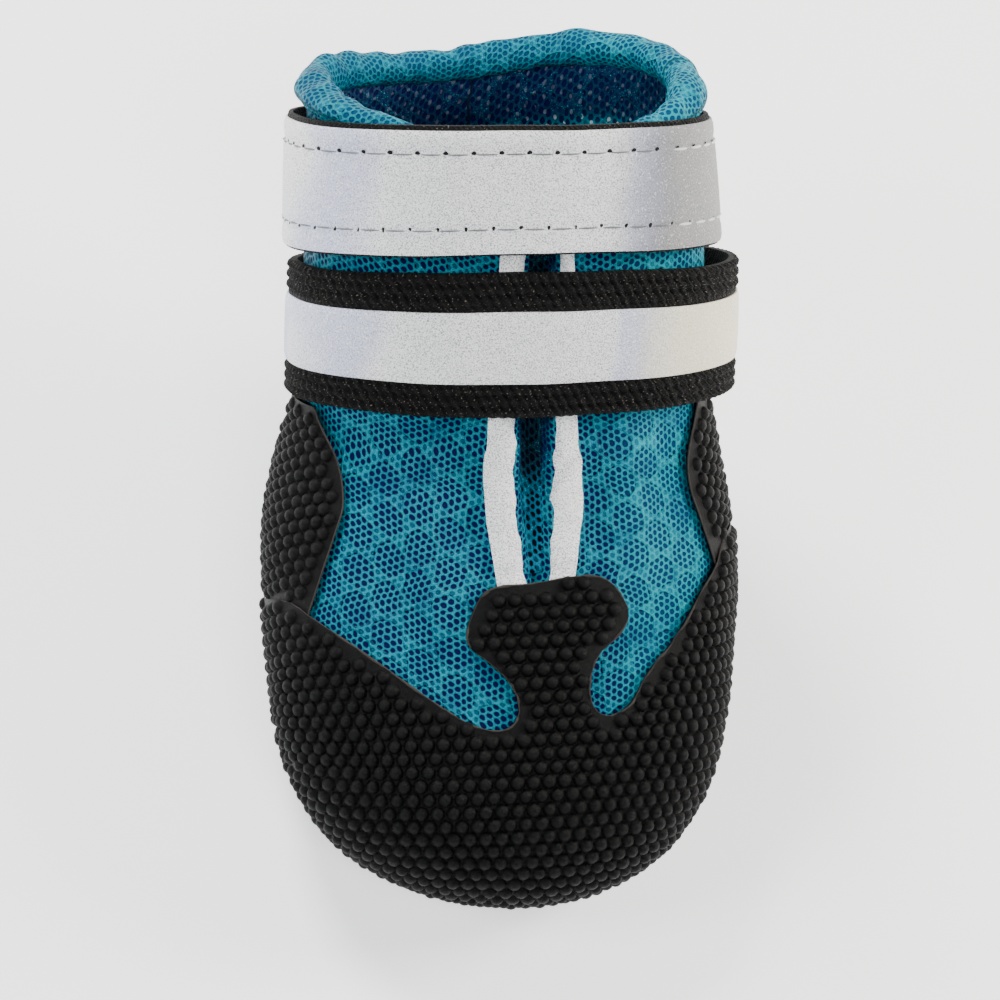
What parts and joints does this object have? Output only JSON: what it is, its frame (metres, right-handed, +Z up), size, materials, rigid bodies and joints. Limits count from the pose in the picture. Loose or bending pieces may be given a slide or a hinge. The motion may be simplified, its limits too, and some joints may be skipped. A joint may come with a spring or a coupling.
{
  "type": "dog boot",
  "caption": "Dog boot: mesh upper with a nubby toe cap and side wings, chevron rubber sole, padded collar and wrap-round hook-and-loop straps.",
  "frame": {"origin": "middle of the bounding box in plan, on the floor the sole stands on", "axes": "-Y towards the toe, +Y towards the heel, +Z up out of the floor, +X to the right when the boot is seen from its toe"},
  "size_m": [0.0744, 0.1246, 0.0847],
  "materials": {
    "mesh": "teal air mesh",
    "collar": "padded soft mesh",
    "gusset": "dark stretch mesh",
    "nubby": "satin black nubby fabric",
    "rubber": "satin black rubber",
    "insole": "matt knitted lining",
    "strap": "silver reflective tape",
    "webbing": "black ribbed webbing",
    "patch": "black hook and loop"
  },
  "bodies": {
    "root": {"upper": "mesh", "gusset": "gusset", "collar_roll": "collar", "toe_cap": "nubby", "wing_left": "nubby", "wing_right": "nubby", "insole": "insole", "outsole": "rubber", "lower_strap": "webbing", "upper_strap": "strap", "lower_strap_patch": "patch", "upper_strap_patch": "patch"}
  },
  "joints": []
}
